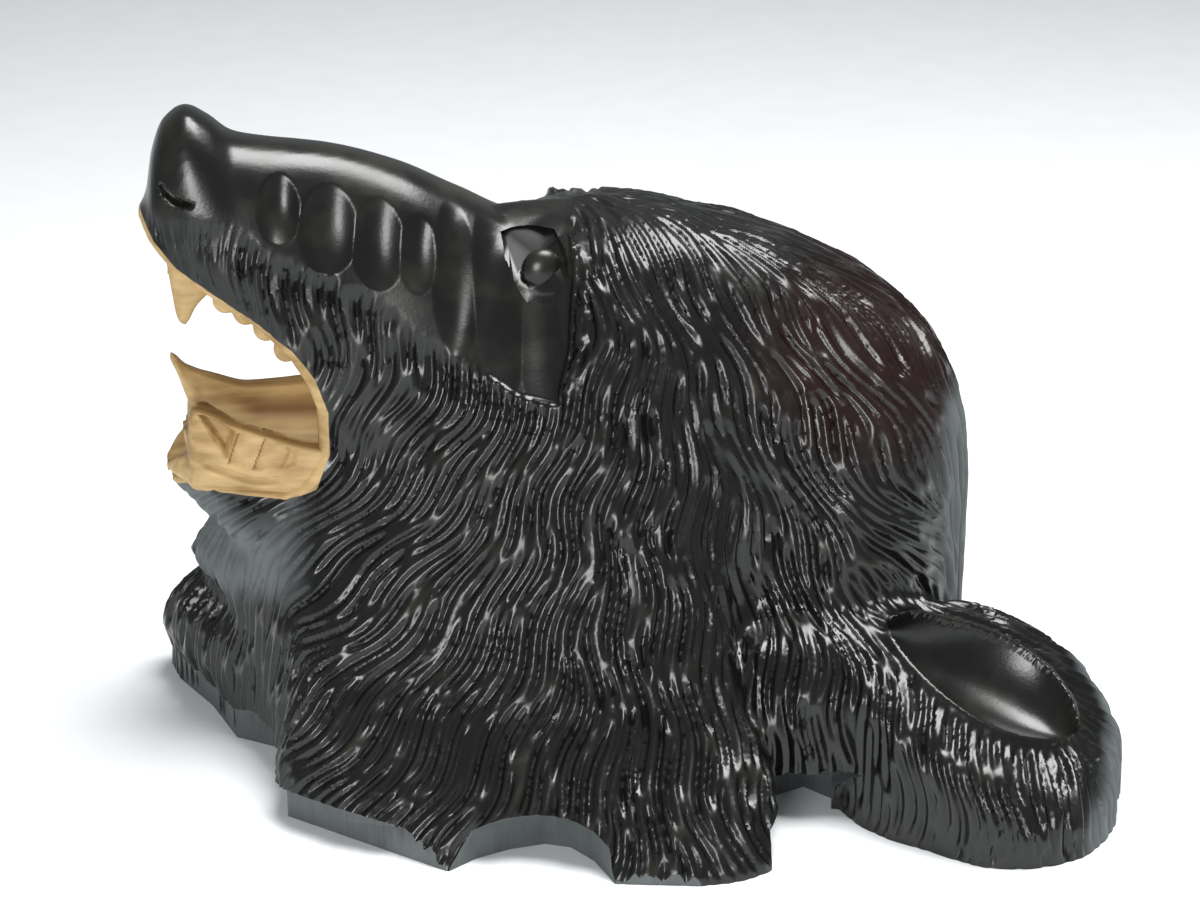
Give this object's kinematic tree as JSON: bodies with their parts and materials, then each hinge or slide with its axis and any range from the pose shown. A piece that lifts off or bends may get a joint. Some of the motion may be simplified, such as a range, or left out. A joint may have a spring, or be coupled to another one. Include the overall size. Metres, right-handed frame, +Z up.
{
  "type": "animal head carving",
  "caption": "Snarling bear head carved from one wood block: deep fur locks, open toothed mouth and hollow ears, lying on its flat sawn back.",
  "frame": {"origin": "middle of the underside of the box around the head", "axes": "+Z up from the flat sawn back, +X from the throat to the ears, Y across the head"},
  "size_m": [0.3558, 0.3198, 0.2498],
  "materials": {
    "bear_head": "black lacquer, bare wood in the mouth"
  },
  "bodies": {
    "root": {"bear_head": "bear_head"}
  },
  "joints": []
}
